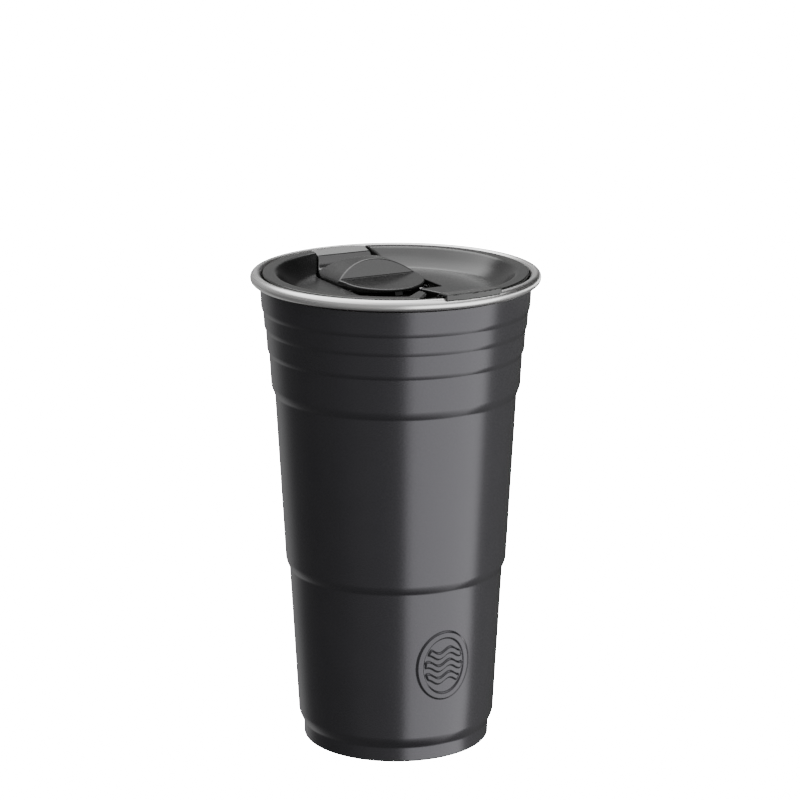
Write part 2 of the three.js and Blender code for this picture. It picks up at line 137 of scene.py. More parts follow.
def lathe(name, profile, segments=288, smooth_angle=40.0):
    """A closed body of revolution.  The profile is a loop, or runs from the axis back to the axis."""
    on_axis = profile[0][0] == 0
    rings = profile[1:-1] if on_axis else profile
    angles = np.linspace(0, 2 * math.pi, segments, endpoint=False)
    cosine, sine = np.cos(angles), np.sin(angles)
    vertices = np.array([(r * c, r * s, z) for r, z in rings for c, s in zip(cosine, sine)])
    faces = []
    count = len(rings)
    for i in range(count - 1 if on_axis else count):
        low, high = i * segments, ((i + 1) % count) * segments
        for k in range(segments):
            n = (k + 1) % segments
            faces.append((low + k, low + n, high + n, high + k))
    if on_axis:
        first, last = len(vertices), len(vertices) + 1
        vertices = np.vstack([vertices, (0, 0, profile[0][1]), (0, 0, profile[-1][1])])
        top = (count - 1) * segments
        for k in range(segments):
            n = (k + 1) % segments
            faces.append((first, n, k))
            faces.append((last, top + k, top + n))
    return new_object(name, vertices, faces, smooth_angle)


# ---------------------------------------------------------------- moulded pieces from distance fields
#
# A field gives roughly the distance in mm from a point to the piece's surface, below zero inside.
# The moulded lid pieces are made this way because their fillets then come from the blend radii.

def soft_max(a, b, radius):
    """The larger of two fields, with the edge where they meet rounded off."""
    blend = np.maximum(radius - np.abs(a - b), 0.0)
    return np.maximum(a, b) + blend ** 2 / (4 * radius)


def soft_min(a, b, radius):
    """The smaller of two fields, with the corner where they meet filled in."""
    return -soft_max(-a, -b, radius)


def polygon_field(x, y, points):
    """Signed distance to a closed outline."""
    best = np.full(x.shape, np.inf)
    inside = np.zeros(x.shape, bool)
    for (ax, ay), (bx, by) in zip(points, points[1:] + points[:1]):
        ex, ey = bx - ax, by - ay
        wx, wy = x - ax, y - ay
        along = np.clip((wx * ex + wy * ey) / max(ex * ex + ey * ey, 1e-12), 0, 1)
        best = np.minimum(best, (wx - along * ex) ** 2 + (wy - along * ey) ** 2)
        if ay != by:
            crosses = (ay > y) != (by > y)
            inside ^= crosses & (x < ex * (y - ay) / ey + ax)
    return np.where(inside, -1, 1) * np.sqrt(best)


def slab(value, low, high):
    """Below zero where the value is between low and high."""
    return np.maximum(low - value, value - high)


def box_field(p, low, high, radius):
    """A box with rounded edges."""
    x, y, z = p
    flat = soft_max(slab(x, low[0], high[0]), slab(y, low[1], high[1]), radius)
    return soft_max(flat, slab(z, low[2], high[2]), radius)


def rod_field(p, y, z, radius, half_length):
    """A rod along X."""
    return np.maximum(np.hypot(p[1] - y, p[2] - z) - radius, np.abs(p[0]) - half_length)


def field_slope(field, points):
    """The field's rate of change along each axis at each point."""
    probe = 0.02
    slope = np.zeros_like(points)
    for axis in range(3):
        offset = np.zeros(3)
        offset[axis] = probe
        slope[:, axis] = (field((points + offset).T) - field((points - offset).T)) / (2 * probe)
    return slope


def settle(field, vertices, longest_move):
    """Moves the vertices onto the field's surface in a few short moves along its slope.

    The slope counts as no flatter than a set least, or a vertex on a flat stretch would fly off.
    """
    least_slope2 = 0.05
    for _ in range(4):
        slope = field_slope(field, vertices)
        length2 = np.maximum((slope ** 2).sum(1), least_slope2)
        move = -(field(vertices.T) / length2)[:, None] * slope
        reach = np.linalg.norm(move, axis=1, keepdims=True)
        vertices += move * np.minimum(1.0, longest_move / np.maximum(reach, 1e-9))


def net_vertices(values, cells):
    """One vertex in each cell, in grid units: the middle of the cell's edges' crossings."""
    crossing_sum = np.zeros((len(cells), 3))
    crossing_count = np.zeros(len(cells))
    for start in np.ndindex(2, 2, 2):
        for axis in range(3):
            if start[axis]:
                continue
            end = tuple(start[i] + (i == axis) for i in range(3))
            first = values[tuple((cells + start).T)]
            last = values[tuple((cells + end).T)]
            cut = (first < 0) != (last < 0)
            t = first[cut] / (first[cut] - last[cut])
            crossing_sum[cut] += np.array(start, float) + np.outer(t, np.array(end) - np.array(start))
            crossing_count[cut] += 1
    return cells + crossing_sum / crossing_count[:, None]


def net_faces(inside, index):
    """One quad across each grid edge that crosses the surface, turned to face outwards."""
    faces = []
    for axis in range(3):
        u, v = (axis + 1) % 3, (axis + 2) % 3
        part_here = [slice(1, -1)] * 3
        part_next = [slice(1, -1)] * 3
        part_here[axis], part_next[axis] = slice(0, -1), slice(1, None)
        here, beyond = inside[tuple(part_here)], inside[tuple(part_next)]
        found = np.argwhere(here != beyond)
        start_inside = here[tuple(found.T)]
        base = found.copy()
        base[:, u] += 1
        base[:, v] += 1
        corners = []
        for du, dv in ((-1, -1), (0, -1), (0, 0), (-1, 0)):
            at = base.copy()
            at[:, u] += du
            at[:, v] += dv
            corners.append(index[tuple(at.T)])
        quad = np.array(corners).T
        quad[~start_inside] = quad[~start_inside][:, ::-1]
        faces.append(quad)
    return np.vstack(faces)


def from_field(name, field, low, high, cell):
    """Meshes a field by surface nets, then moves each vertex onto the true surface."""
    low, high = np.array(low, float), np.array(high, float)
    counts = np.ceil((high - low) / cell).astype(int) + 1
    axes = [low[i] + cell * np.arange(counts[i]) for i in range(3)]
    values = field(np.array(np.meshgrid(*axes, indexing="ij")))
    inside = values < 0

    shape = tuple(counts - 1)
    corners_inside = np.zeros(shape, int)
    for i, j, k in np.ndindex(2, 2, 2):
        corners_inside += inside[i:i + shape[0], j:j + shape[1], k:k + shape[2]]
    active = (corners_inside > 0) & (corners_inside < 8)
    cells = np.argwhere(active)
    index = np.full(shape, -1)
    index[active] = np.arange(len(cells))

    vertices = low + net_vertices(values, cells) * cell
    settle(field, vertices, 0.4 * cell)
    obj = new_object(name, vertices, net_faces(inside, index).tolist(), smooth_angle=None)

    normals = field_slope(field, vertices)
    normals /= np.maximum(np.linalg.norm(normals, axis=1, keepdims=True), 1e-9)
    if len(obj.data.vertices) == len(vertices):
        obj.data.normals_split_custom_set_from_vertices(normals.tolist())
    return obj


# ---------------------------------------------------------------- cup

def shell_outside():
    """The shell's outside line, from the foot to the rim."""
    low_r, low_depth = SHOULDERS[0][1], SHOULDERS[0][3]
    foot_r = low_r - low_depth - 0.05
    line = [(FOOT_INNER_R, 0.0)] + arc(foot_r - FOOT_FILLET, FOOT_FILLET, FOOT_FILLET, -90, 0, 10)
    for top_z, top_r, drop, depth in SHOULDERS:
        bottom_z, inner_r = top_z - drop, top_r - depth
        line.append((inner_r - CORNER_DROP * TAPER, bottom_z - CORNER_DROP))
        line.append((inner_r + 0.02, bottom_z - 0.05))
        for t in np.linspace(0.08, 1, 12):
            line.append((top_r - depth * (1 - t) ** SHOULDER_CURVE, bottom_z + drop * t))
    last_z, last_r = SHOULDERS[-1][:2]
    line.append((last_r + (SHELL_TOP_Z - last_z) * TAPER, SHELL_TOP_Z))
    return line


# The emblem low on the front: a raised ring round three waves.
EMBLEM_Z = 36.0
EMBLEM_HALF_WIDTH = 9.0
EMBLEM_HALF_HEIGHT = 11.4
EMBLEM_RAISE = 0.55
EMBLEM_STROKE = 1.15               # half the ring's width
WAVE_STROKE, WAVE_HEIGHT, WAVE_LENGTH = 0.95, 0.95, 8.4
WAVE_CENTRES = (-4.6, 0.0, 4.6)


def emblem_relief(u, v):
    """Height of a generic mark, an upright ring round three waves, at u across and v up."""
    def stroke(distance, half_width):
        t = np.clip((half_width - distance) / 0.7 + 0.5, 0, 1)
        return t * t * (3 - 2 * t)

    scale = np.hypot(u / EMBLEM_HALF_WIDTH, v / EMBLEM_HALF_HEIGHT)
    slope = np.hypot(u / EMBLEM_HALF_WIDTH ** 2, v / EMBLEM_HALF_HEIGHT ** 2) / np.maximum(scale, 1e-6)
    to_ring = np.abs(scale - 1) / np.maximum(slope, 1e-6)
    relief = stroke(to_ring, EMBLEM_STROKE)
    inner_margin = np.clip((0.80 - scale) / 0.08 + 0.5, 0, 1)
    for centre in WAVE_CENTRES:
        wave = centre + WAVE_HEIGHT * np.sin(2 * math.pi * u / WAVE_LENGTH)
        relief = np.maximum(relief, stroke(np.abs(v - wave) * 0.85, WAVE_STROKE) * inner_margin)
    return EMBLEM_RAISE * relief


def outer_shell():
    """The coated outer wall, with a finer grid of points over the emblem at its front."""
    outside = shell_outside()
    margin, grid_step = 2.5, 0.26
    emblem_low = EMBLEM_Z - EMBLEM_HALF_HEIGHT - margin
    emblem_high = EMBLEM_Z + EMBLEM_HALF_HEIGHT + margin
    radii, heights = zip(*outside)
    fine = [(float(np.interp(z, heights, radii)), z) for z in np.arange(emblem_low, emblem_high, grid_step)]
    below = [p for p in outside if p[1] < emblem_low]
    above = [p for p in outside if p[1] > emblem_high]
    outside = below + fine + above

    inside = [(FOOT_INNER_R, WALL), (SHOULDERS[0][1] - SHOULDERS[0][3] - WALL, WALL)]
    for top_z, top_r, drop, depth in SHOULDERS:
        inside.append((top_r - depth - WALL, top_z - drop))
        inside.append((top_r - WALL, top_z))
    inside.append((outside[-1][0] - WALL, outside[-1][1]))
    loop = outside + inside[::-1]

    half_span = math.radians(20)
    dense_steps, coarse_steps = 116, 214
    dense = np.linspace(-half_span, half_span, dense_steps)
    coarse = np.linspace(half_span, 2 * math.pi - half_span, coarse_steps)[1:-1]
    angles = np.concatenate([dense, coarse]) - math.pi / 2
    count = len(angles)
    vertices = []
    for i, (r, z) in enumerate(loop):
        ring_r = np.full(count, r)
        if i < len(outside) and emblem_low <= z <= emblem_high:
            u = (angles + math.pi / 2) * r
            u = np.where(u > math.pi * r, u - 2 * math.pi * r, u)
            ring_r = ring_r + emblem_relief(u, z - EMBLEM_Z)
        vertices.append(np.stack([ring_r * np.cos(angles), ring_r * np.sin(angles), np.full(count, z)], 1))
    faces = []
    for i in range(len(loop)):
        low, high = i * count, ((i + 1) % len(loop)) * count
        for k in range(count):
            n = (k + 1) % count
            faces.append((low + k, low + n, high + n, high + k))
    shell = new_object("shell_body", np.vstack(vertices), faces, smooth_angle=50)
    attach(shell, "root")
    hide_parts("outer_shell")
    return shell


def inner_liner():
    """The steel inner cup, whose top edge curls outwards into the rolled bead."""
    wall = 0.6
    floor_z, corner_r = 12.0, 5.0
    curl_end = -128

    def skin(inset):
        line = [(0, floor_z + inset)] + arc(27.6, floor_z + corner_r, corner_r - inset, -90, -3, 8)
        line += rounded([line[-1], (42.1 - inset, 150.0), (45.3 - inset, 155.0), (46.35 - inset, 165.6),
                         (BEAD_R - BEAD_TUBE + (wall - inset), BEAD_Z - 0.4)], 1.2, closed=False)[1:]
        return line

    outside = skin(0) + arc(BEAD_R, BEAD_Z, BEAD_TUBE - wall, 180, curl_end, 26)
    inside = skin(wall) + arc(BEAD_R, BEAD_Z, BEAD_TUBE, 180, curl_end, 32)
    liner = lathe("liner_body", outside + inside[::-1])
    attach(liner, "root")
    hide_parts("inner_liner")
    return liner


def base_pieces():
    """The disc that closes the outer wall, with a dimple round its port, and the cover below it."""
    cap_z, cap_wall = 1.1, 0.9
    port, dimple, edge = 1.6, 8.0, 31.9
    rise = 2.0
    under = rounded([(port, cap_z + rise), (dimple - 1, cap_z + rise), (dimple, cap_z), (edge, cap_z)],
                    0.5, closed=False)
    over = [(r, z + cap_wall) for r, z in under]
    cap = lathe("base_cap_disc", under + over[::-1], segments=192)

    cover_z, cover_wall, cover_r = 0.25, 0.55, 29.6
    groove_z = cover_z + 0.12
    low = [(0, cover_z), (9.0, cover_z), (9.6, groove_z), (10.4, groove_z), (11.0, cover_z)]
    low += arc(cover_r - cover_wall / 2, cover_z + cover_wall / 2, cover_wall / 2, -90, 90, 8)
    cover = lathe("base_cover_disc", low + [(0, cover_z + cover_wall)], segments=192)
    for piece, node in ((cap, "base_cap"), (cover, "base_cover")):
        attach(piece, "root")
        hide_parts(node)
    return cap, cover


# ---------------------------------------------------------------- lid

# The slot that the lever lies in, and the recess in the rim ring under the lever's spout cover.
SLOT_HALF_WIDTH = 16.3
SLOT_BODY_END_Y = 30.0             # from here the slot narrows towards the recess
SLOT_CORNER = (12.3, 38.4)         # on the +X side the narrowing has one more corner
RECESS_HALF_WIDTH, RECESS_Y, RECESS_Z = 10.8, 40.4, 167.0
# The finger well in front of the lever.  Its +X side steps in at WELL_Y.
WELL_Y, WELL_X, WELL_FRONT_X = -4.5, 7.3, 10.2
WELL_END_Y, WELL_CORNER = -20.0, 6.0
# The thin walls that hang from the dish floor.
WALL_DEPTH, WALL_THICKNESS = 5.0, 1.2
# The lift tab over the bead, between two angles from +X, and the notch and small lip beside it.
TAB_ANGLES = (-98.1, -72.5)
TAB_INNER_R, TAB_OUTER_R = 43.2, 51.0
TAB_INNER_Z, TAB_OUTER_Z = 171.3, 172.2
NOTCH = [(-16.2, -47.0), (-7.6, -37.3), (-5.2, -36.0), (-7.0, -49.0)]
NOTCH_Z = 167.5
LIP = [(-15.8, -39.6), (-8.0, -32.6), (-7.6, -37.3), (-13.4, -43.9), (-16.4, -41.6)]
LIP_THICKNESS = 1.5
# The lower moulding's posts, and the holes for the cross pin.
POST_HALF_Y = 3
BORE_R = 1.4
# Sections of the round mouldings run past the axis to here, so that no edge falls on the axis.
PAST_AXIS = -5
FIELD_MARGIN = 1.2                 # free space round a piece's box when its field is meshed


def slot_outline():
    """The slot the lever lies in, from above, with the finger well in front of it."""
    end_r = 43.7
    end_angle = math.degrees(math.acos(RECESS_HALF_WIDTH / end_r))
    rim_end = arc(0, 0, end_r, 180 - end_angle, end_angle, 6)
    right = rounded([rim_end[-1], (RECESS_HALF_WIDTH, RECESS_Y), SLOT_CORNER,
                     (SLOT_HALF_WIDTH, SLOT_BODY_END_Y), (SLOT_HALF_WIDTH, 5)],
                    (0, 0.3, 0.6, 4, 0), closed=False)[1:]
    corner_y = WELL_END_Y + WELL_CORNER
    well = rounded([(SLOT_HALF_WIDTH, 4), (SLOT_HALF_WIDTH, WELL_Y), (WELL_X, WELL_Y),
                    (WELL_FRONT_X, corner_y)], (0, 1.0, 0.6, 0), closed=False)
    well += arc(WELL_FRONT_X - WELL_CORNER, corner_y, WELL_CORNER, 0, -90, 6)
    well += arc(WELL_CORNER - SLOT_HALF_WIDTH, corner_y, WELL_CORNER, -90, -180, 6)
    left = rounded([(-SLOT_HALF_WIDTH, 5), (-SLOT_HALF_WIDTH, SLOT_BODY_END_Y),
                    (-RECESS_HALF_WIDTH, RECESS_Y), rim_end[0]],
                   (0, 4, 0.6, 0), closed=False)[:-1]
    return rim_end + right + well + left


def sector(x, y, angles):
    """Field of a pie slice between two angles in degrees."""
    start, end = np.radians(angles)
    past_start = -(math.cos(start) * y - math.sin(start) * x)
    past_end = math.cos(end) * y - math.sin(end) * x
    return np.maximum(past_start, past_end)


def dish_profile():
    """The lid's section from the axis outwards: dish, rim ring, and the flange hanging under it."""
    ring_z, dish_under_z = 168.2, 162.5
    flange_inner_r, flange_outer_r, flange_z = 43.9, 45.0, 163.2
    return rounded([(PAST_AXIS, DISH_FLOOR_Z), (DISH_WALL_R, DISH_FLOOR_Z), (38.4, 166.5),
                    (DISH_R, LID_TOP_Z), (LID_EDGE_R, LID_TOP_Z), (LID_EDGE_R, ring_z),
                    (flange_outer_r, ring_z), (flange_outer_r, flange_z), (flange_inner_r, flange_z),
                    (43.8, ring_z), (41.6, ring_z), (35.0, dish_under_z), (PAST_AXIS, dish_under_z)],
                   (0, 1.4, 2.2, 0.9, 0.5, 0.4, 0, 0.3, 0.3, 0, 1, 1, 0))


def tab_profile():
    """The lift tab's section, from inside the rim ring out over the bead."""
    root_z, low_z = LID_TOP_Z - 0.9, LINER_HIGH[2] + GAP
    return rounded([(TAB_INNER_R, root_z), (LID_EDGE_R, root_z), (LID_EDGE_R, low_z),
                    (TAB_OUTER_R - 1.4, low_z), (TAB_OUTER_R - 0.4, low_z - 0.8),
                    (TAB_OUTER_R, low_z - 0.8), (TAB_OUTER_R, TAB_OUTER_Z), (TAB_INNER_R, TAB_INNER_Z)],
                   (0.2, 0, 0, 0.2, 0.2, 0.1, 0.3, 0.3))


def hanging_walls():
    """Outlines of the thin walls that hang beside the slot and the finger well."""
    edge_x = SLOT_HALF_WIDTH + WALL_THICKNESS
    back_y = WELL_Y - WALL_THICKNESS
    front_y = WELL_END_Y + WELL_CORNER
    post_y = PIN_Y - POST_HALF_Y - 2 * GAP
    return (
        [(SLOT_HALF_WIDTH, back_y), (edge_x, back_y), (edge_x, post_y), (SLOT_HALF_WIDTH, post_y)],
        [(WELL_X, back_y), (edge_x, back_y), (edge_x, WELL_Y), (WELL_X, WELL_Y)],
        [(WELL_X, WELL_Y), (WELL_FRONT_X, front_y), (WELL_FRONT_X + WALL_THICKNESS, front_y),
         (WELL_X + WALL_THICKNESS, WELL_Y)],
    )


def lid_top():
    """The upper moulding: dish with slot and finger well, rim ring, lift tab, notch and small lip."""
    face = dish_profile()
    tab = tab_profile()
    slot = slot_outline()
    walls = hanging_walls()
    wall_top = DISH_FLOOR_Z - 0.8

    def field(p):
        x, y, z = p
        r = np.hypot(x, y)
        solid = polygon_field(r, z, face)
        solid = soft_max(solid, -polygon_field(x, y, slot), 0.5)
        recess = np.maximum(np.maximum(np.abs(x) - RECESS_HALF_WIDTH, RECESS_Y - y), RECESS_Z - z)
        solid = soft_max(solid, -recess, 0.3)
        lip = soft_max(polygon_field(x, y, LIP), slab(z, LID_TOP_Z - LIP_THICKNESS, LID_TOP_Z), 0.5)
        solid = soft_min(solid, lip, 0.15)
        solid = soft_max(solid, -np.maximum(polygon_field(x, y, NOTCH), NOTCH_Z - z), 0.3)
        for wall in walls:
            hanging = soft_max(polygon_field(x, y, wall), slab(z, wall_top - WALL_DEPTH, wall_top), 0.3)
            solid = soft_min(solid, hanging, 0.3)
        lift_tab = soft_max(polygon_field(r, z, tab), sector(x, y, TAB_ANGLES), 0.5)
        return soft_min(solid, lift_tab, 0.3)

    low, high = LID_LOW - FIELD_MARGIN, LID_HIGH + FIELD_MARGIN
    top = from_field("lid_moulding", field, low, high, cell=0.42)
    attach(top, "lid")
    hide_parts("lid_top")
    return top


def lid_base():
    """The lower moulding: a shallow cup with the gasket's groove, the spout's tower and the posts."""
    floor_low, floor_high = 153.8, 155.4
    skirt_r, skirt_inner_r, skirt_top = 43.4, 41.3, 164.2
    groove_r, groove_low, groove_high = 42.5, 157.0, 161.4
    cup = rounded([(PAST_AXIS, floor_low), (skirt_r, floor_low), (skirt_r, groove_low),
                   (groove_r, groove_low), (groove_r, groove_high), (skirt_r, groove_high),
                   (skirt_r, skirt_top), (skirt_inner_r + 0.5, skirt_top),
                   (skirt_inner_r, skirt_top - 2), (skirt_inner_r, floor_high), (PAST_AXIS, floor_high)],
                  (0, 1.2, 0.2, 0.2, 0.2, 0.2, 0.8, 0.2, 0.5, 1.5, 0))
    stand_z = floor_high - 0.5
    tower_low, tower_high = (-9.5, 32.5, stand_z), (9.5, 39.5, 162.3)
    post_low, post_high = (16.0, PIN_Y - POST_HALF_Y, stand_z), (19.0, PIN_Y + POST_HALF_Y, 162.1)
    spout_half_width, spout_low_y, spout_high_y = 6.0, 33.8, 38.2
    vent_y, vent_r = -25, 1.2

    def field(p):
        x, y, z = p
        solid = polygon_field(np.hypot(x, y), z, cup)
        tower = box_field(p, tower_low, tower_high, 0.6)
        solid = soft_min(solid, tower, 0.8)
        post = box_field((np.abs(x), y, z), post_low, post_high, 0.6)
        solid = soft_min(solid, post, 0.8)
        across = slab(x, -spout_half_width, spout_half_width)
        spout_hole = soft_max(across, slab(y, spout_low_y, spout_high_y), 1.0)
        solid = soft_max(solid, -spout_hole, 0.4)
        vent = np.hypot(x, y - vent_y) - vent_r
        solid = soft_max(solid, -vent, 0.3)
        return np.maximum(solid, -rod_field(p, PIN_Y, PIN_Z, BORE_R, 40))

    low, high = cad_mm("lid_base")
    base = from_field("lid_base_moulding", field, low - FIELD_MARGIN, high + FIELD_MARGIN, cell=0.55)
    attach(base, "lid")
    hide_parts("lid_base")
    return base


def gasket():
    """The silicone ring in the lower moulding's groove, with two lips."""
    inner, body, lip = 42.8, 43.7, 44.6
    low, high = 157.3, 161.1
    middle = (low + high) / 2
    ring = [(inner, low), (body, low), (lip, low + 0.7), (lip, low + 1.1), (body, middle),
            (lip, high - 1.1), (lip, high - 0.7), (body, high), (inner, high)]
    seal = lathe("gasket_ring", rounded(ring, 0.3, steps=3), segments=240)
    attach(seal, "lid")
    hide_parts("lid_gasket")
    return seal


def hinge_pin():
    """The steel pin across the lever, turned about Z and then laid along X."""
    radius, half = 1.1, 18.8
    chamfer = 0.3
    line = [(0, -half), (radius - chamfer, -half), (radius, -half + chamfer), (radius, half - chamfer),
            (radius - chamfer, half), (0, half)]
    pin = lathe("cross_pin", line, segments=40)
    pin.data.transform(Matrix.Translation((0, PIN_Y * MM, PIN_Z * MM)) @ Matrix.Rotation(math.pi / 2, 4, "Y"))
    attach(pin, "lid")
    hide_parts("hinge_pin")
    return pin


# ---------------------------------------------------------------- lever

LOBE_R = 14.7                      # the thumb lobe's round edge, about the pin
LEVER_HALF_WIDTH = 15.6
LEVER_END_HALF_WIDTH = 10.5        # the spout cover, whose end follows the lid's edge
LEVER_END_R = 46.2
DECK_Z, UNDER_Z = 164.8, 163.0     # top and underside of the flat part under the dome
CREASE_Z = 165.8                   # where the lobe meets the dome's front face
ARCH_Y, ARCH_LEAN = 13.8, 0.8      # that face's foot, and how far it leans back for each mm up
ARCH_R, ARCH_TOP_Z = 22.8, 171.3   # the dome's round top, across the lever
CREST_END_Y, SLOPE_LENGTH = 24.5, 8.0
COVER_Y, COVER_Z, COVER_END_Z = 40.5, 169.2, 170.7


def lever_outline():
    """The lever from above, from the spout cover's round end to the thumb lobe."""
    end_angle = math.degrees(math.acos(LEVER_END_HALF_WIDTH / LEVER_END_R))
    cover_end = arc(0, 0, LEVER_END_R, 180 - end_angle, end_angle, 8)
    half = rounded([cover_end[-1], (LEVER_END_HALF_WIDTH, RECESS_Y),
                    (LEVER_HALF_WIDTH, SLOT_BODY_END_Y - GAP), (LEVER_HALF_WIDTH, ARCH_Y)],
                   (0, 1, 4, 0), closed=False)[1:]
    lobe = arc(0, PIN_Y, LOBE_R, 0, -180, 40)
    return cover_end + half + lobe + [(-x, y) for x, y in half][::-1]


def plate_profile():
    """The lever from the side, without its dome: lobe, deck, and the cover over the spout."""
    tip = PIN_Y - LOBE_R
    beyond = LEVER_END_R + 1
    end_slope = (COVER_END_Z - COVER_Z) / (LEVER_END_R - COVER_Y)
    return rounded([(tip - 0.5, 164.7), (tip + 4, 165.0), (tip + 12, 165.4), (ARCH_Y, CREASE_Z),
                    (ARCH_Y + 2, DECK_Z), (33.5, DECK_Z), (36.6, 165.2), (38.8, 166.7), (COVER_Y, COVER_Z),
                    (beyond, COVER_END_Z + end_slope), (beyond, 167.7), (42.4, 167.5),
                    (41.6, 166.9), (41.0, 165.0), (39.8, 163.9), (38.0, 163.4), (34.0, 163.2),
                    (tip + 8, UNDER_Z), (tip - 0.5, 163.9)],
                   (0, 3, 3, 0, 0, 1.4, 1.5, 1.3, 0.5, 0, 0, 0.4, 0.5, 1, 0.6, 1, 1, 2, 0), steps=4)


def dome_profile():
    """The dome from the side: a leaning front face, the crest, and the slope down to the deck."""
    above = ARCH_TOP_Z + 1
    slope_end = CREST_END_Y + SLOPE_LENGTH
    front = [(ARCH_Y + ARCH_LEAN * (z - CREASE_Z), z) for z in (164, above)]
    crest = [(CREST_END_Y - 1, above), (CREST_END_Y - 1, ARCH_TOP_Z), (CREST_END_Y, ARCH_TOP_Z)]
    slope = [(CREST_END_Y + 0.45 * SLOPE_LENGTH, ARCH_TOP_Z - 1.4),
             (CREST_END_Y + 0.8 * SLOPE_LENGTH, ARCH_TOP_Z - 4.7), (slope_end, DECK_Z), (slope_end, 164)]
    return rounded(front + crest + slope, (0, 0, 0, 0, 1.0, 2, 1.5, 1.5, 0), steps=4)


def lever():
    """The rocking lever: plate and dome above, ribs and the barrel round the pin below."""
    outline = lever_outline()
    side = plate_profile()
    slope = dome_profile()
    low_z = PIN_Z - 2.4
    rib_back = [(PIN_Y + 3, low_z), (PIN_Y + 14, UNDER_Z + 0.5)]
    centre_rib = [(-2.2, 164.2), (-2.8, 162.0), (PIN_Y - 7, PIN_Z - 1.2), (PIN_Y - 3, low_z)] + rib_back
    side_rib = [(PIN_Y - 3, UNDER_Z + 0.5), (PIN_Y - 3, low_z)] + rib_back
    rib_half, side_rib_x = 1.6, 11.8
    barrel_r, barrel_half = 2.5, 13.4

    def field(p):
        x, y, z = p
        plan = polygon_field(x, y, outline)
        plate = soft_max(plan, polygon_field(y, z, side), 0.45)
        arch = np.hypot(x, z - ARCH_TOP_Z + ARCH_R) - ARCH_R
        dome = soft_max(soft_max(arch, polygon_field(y, z, slope), 0.45), plan, 0.4)
        solid = np.minimum(plate, dome)
        crease_groove = np.hypot(y - ARCH_Y + 0.1, z - CREASE_Z - 0.1) - 0.32
        solid = soft_max(solid, -crease_groove, 0.1)
        barrel = rod_field(p, PIN_Y, PIN_Z, barrel_r, barrel_half)
        solid = soft_min(solid, barrel, 0.6)
        middle = np.abs(x) - rib_half
        solid = soft_min(solid, soft_max(polygon_field(y, z, centre_rib), middle, 0.3), 0.3)
        beside = np.abs(np.abs(x) - side_rib_x) - rib_half
        solid = soft_min(solid, soft_max(polygon_field(y, z, side_rib), beside, 0.3), 0.3)
        return np.maximum(solid, -rod_field(p, PIN_Y, PIN_Z, BORE_R, 40))

    low, high = LEVER_LOW - FIELD_MARGIN, LEVER_HIGH + FIELD_MARGIN
    rocker = from_field("lever_moulding", field, low, high, cell=0.27)
    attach(rocker, "lever_body")
    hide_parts("lever")
    return rocker


def stopper():
    """The silicone pad on the lever's underside, over the spout hole."""
    low, high = cad_mm("spout_stopper")

    def field(p):
        return box_field(p, low, high, 0.2)

    pad = from_field("stopper_pad", field, low - 0.6, high + 0.6, cell=0.2)
    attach(pad, "lever_body")
    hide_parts("spout_stopper")
    return pad


# ---------------------------------------------------------------- materials

# Sockets of a Mix node set to colours.
MIX_A, MIX_B, MIX_RESULT = 6, 7, 2


def new_material(name, base, roughness, metallic=0.0):
    """A Principled material.  On the cup's pieces, textures then drive its base colour and roughness."""
    material = bpy.data.materials.new(name)
    material.use_nodes = True
    nodes = material.node_tree.nodes
    shader = nodes["Principled BSDF"]
    shader.inputs["Base Color"].default_value = (*base, 1)
    shader.inputs["Roughness"].default_value = roughness
    shader.inputs["Metallic"].default_value = metallic
    return material, shader


def add(material, kind, **settings):
    """A node with its settings; names that aren't properties are input defaults."""
    node = material.node_tree.nodes.new("ShaderNode" + kind)
    for key, value in settings.items():
        if hasattr(node, key):
            setattr(node, key, value)
        else:
            node.inputs[key.replace("_", " ")].default_value = value
    return node


def link(material, source, target):
    material.node_tree.links.new(source, target)


def place_mm(material):
    """The point on the piece in millimetres, in the piece's own axes."""
    coordinate = add(material, "TexCoord")
    scale = add(material, "VectorMath", operation="SCALE", Scale=1 / MM)
    link(material, coordinate.outputs["Object"], scale.inputs[0])
    return scale.outputs[0]


def noise(material, place, per_mm, detail=2.0, rough=0.5):
    """A noise value whose waves repeat about per_mm times in each millimetre."""
    node = add(material, "TexNoise", Scale=per_mm, Detail=detail, Roughness=rough)
    link(material, place, node.inputs["Vector"])
    return node.outputs["Fac"]


def spread(material, value, low, high):
    """A noise value, which is mostly between 0.3 and 0.7, spread over low to high."""
    node = add(material, "MapRange", From_Min=0.3, From_Max=0.7, To_Min=low, To_Max=high)
    link(material, value, node.inputs["Value"])
    return node.outputs[0]


def tint(material, value, dark, light):
    """A colour between dark and light, as the value goes from 0 to 1."""
    node = add(material, "Mix", data_type="RGBA")
    node.inputs[MIX_A].default_value = (*dark, 1)
    node.inputs[MIX_B].default_value = (*light, 1)
    link(material, value, node.inputs[0])
    return node.outputs[MIX_RESULT]


def bump(material, shader, height, depth_mm, normal=None):
    """Fine relief of the given depth, on top of the normal if there is one."""
    node = add(material, "Bump", Distance=depth_mm * MM)
    link(material, height, node.inputs["Height"])
    if normal is not None:
        link(material, normal, node.inputs["Normal"])
    link(material, node.outputs[0], shader.inputs["Normal"])
    return node.outputs[0]


